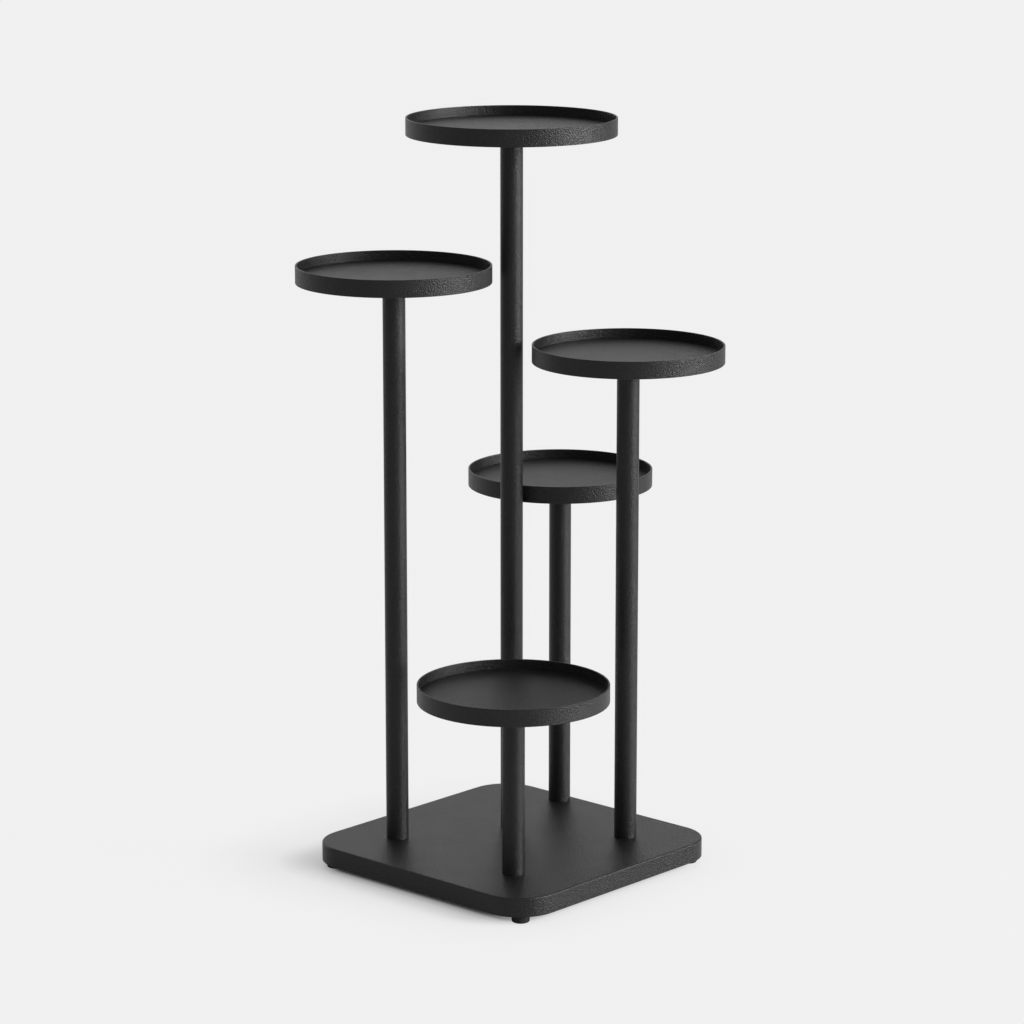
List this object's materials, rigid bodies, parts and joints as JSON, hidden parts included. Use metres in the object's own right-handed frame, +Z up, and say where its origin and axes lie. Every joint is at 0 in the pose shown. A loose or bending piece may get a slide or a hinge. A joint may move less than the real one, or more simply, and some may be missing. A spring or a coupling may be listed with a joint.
{
  "type": "tiered plant stand",
  "caption": "Free-standing plant stand: shallow round trays at staggered heights on round posts, over a square weighted base with rounded corners and levelling feet.",
  "frame": {"origin": "the centre of the square base, on the floor under the feet", "axes": "+Z up along the posts; X and Y along the base's straight sides; the picture's view comes from +X -Y, where the lowest tray's post is nearest"},
  "size_m": [0.4056, 0.4547, 0.85],
  "materials": {
    "base_coat": "matt black powder coat with a fine texture",
    "post_coat": "matt black powder coat with a fine texture",
    "tray_coat": "matt black powder coat with a fine texture",
    "ballast_steel": "black primer over hot-rolled plate",
    "plug_steel": "turned mild steel",
    "zinc_steel": "bright zinc plate",
    "foot_rubber": "black moulded rubber"
  },
  "bodies": {
    "stand": {"base_shell": "base_coat", "ballast_plate": "ballast_steel", "post_bolts": "zinc_steel", "post_washers": "zinc_steel", "foot_nuts": "zinc_steel", "post_centre": "post_coat", "bottom_plug_centre": "plug_steel", "top_plug_centre": "plug_steel", "tray_floor_centre": "tray_coat", "tray_band_centre": "tray_coat", "tray_stud_centre": "zinc_steel", "post_left": "post_coat", "bottom_plug_left": "plug_steel", "top_plug_left": "plug_steel", "tray_floor_left": "tray_coat", "tray_band_left": "tray_coat", "tray_stud_left": "zinc_steel", "post_right": "post_coat", "bottom_plug_right": "plug_steel", "top_plug_right": "plug_steel", "tray_floor_right": "tray_coat", "tray_band_right": "tray_coat", "tray_stud_right": "zinc_steel", "post_rear": "post_coat", "bottom_plug_rear": "plug_steel", "top_plug_rear": "plug_steel", "tray_floor_rear": "tray_coat", "tray_band_rear": "tray_coat", "tray_stud_rear": "zinc_steel", "post_front": "post_coat", "bottom_plug_front": "plug_steel", "top_plug_front": "plug_steel", "tray_floor_front": "tray_coat", "tray_band_front": "tray_coat", "tray_stud_front": "zinc_steel"},
    "pad_front": {"foot_pad_front": "foot_rubber"},
    "stem_front": {"foot_stem_front": "zinc_steel"},
    "pad_right": {"foot_pad_right": "foot_rubber"},
    "stem_right": {"foot_stem_right": "zinc_steel"},
    "pad_rear": {"foot_pad_rear": "foot_rubber"},
    "stem_rear": {"foot_stem_rear": "zinc_steel"},
    "pad_left": {"foot_pad_left": "foot_rubber"},
    "stem_left": {"foot_stem_left": "zinc_steel"}
  },
  "joints": [
    {"name": "foot_travel_front", "type": "slide", "parent": "stand", "child": "pad_front", "axis": [0, 0, -1], "range_m": [0, 0.006]},
    {"name": "foot_screw_front", "type": "hinge", "parent": "pad_front", "child": "stem_front", "pos_m": [0.1425, -0.1425, 0], "axis": [0, 0, -1], "range_deg": [0, 1728]},
    {"name": "foot_travel_right", "type": "slide", "parent": "stand", "child": "pad_right", "axis": [0, 0, -1], "range_m": [0, 0.006]},
    {"name": "foot_screw_right", "type": "hinge", "parent": "pad_right", "child": "stem_right", "pos_m": [0.1425, 0.1425, 0], "axis": [0, 0, -1], "range_deg": [0, 1728]},
    {"name": "foot_travel_rear", "type": "slide", "parent": "stand", "child": "pad_rear", "axis": [0, 0, -1], "range_m": [0, 0.006]},
    {"name": "foot_screw_rear", "type": "hinge", "parent": "pad_rear", "child": "stem_rear", "pos_m": [-0.1425, 0.1425, 0], "axis": [0, 0, -1], "range_deg": [0, 1728]},
    {"name": "foot_travel_left", "type": "slide", "parent": "stand", "child": "pad_left", "axis": [0, 0, -1], "range_m": [0, 0.006]},
    {"name": "foot_screw_left", "type": "hinge", "parent": "pad_left", "child": "stem_left", "pos_m": [-0.1425, -0.1425, 0], "axis": [0, 0, -1], "range_deg": [0, 1728]}
  ],
  "couplings": [
    {"joint": "foot_travel_front", "follows": "foot_screw_front", "m_per_rad": 0.00019894},
    {"joint": "foot_travel_right", "follows": "foot_screw_right", "m_per_rad": 0.00019894},
    {"joint": "foot_travel_rear", "follows": "foot_screw_rear", "m_per_rad": 0.00019894},
    {"joint": "foot_travel_left", "follows": "foot_screw_left", "m_per_rad": 0.00019894}
  ]
}
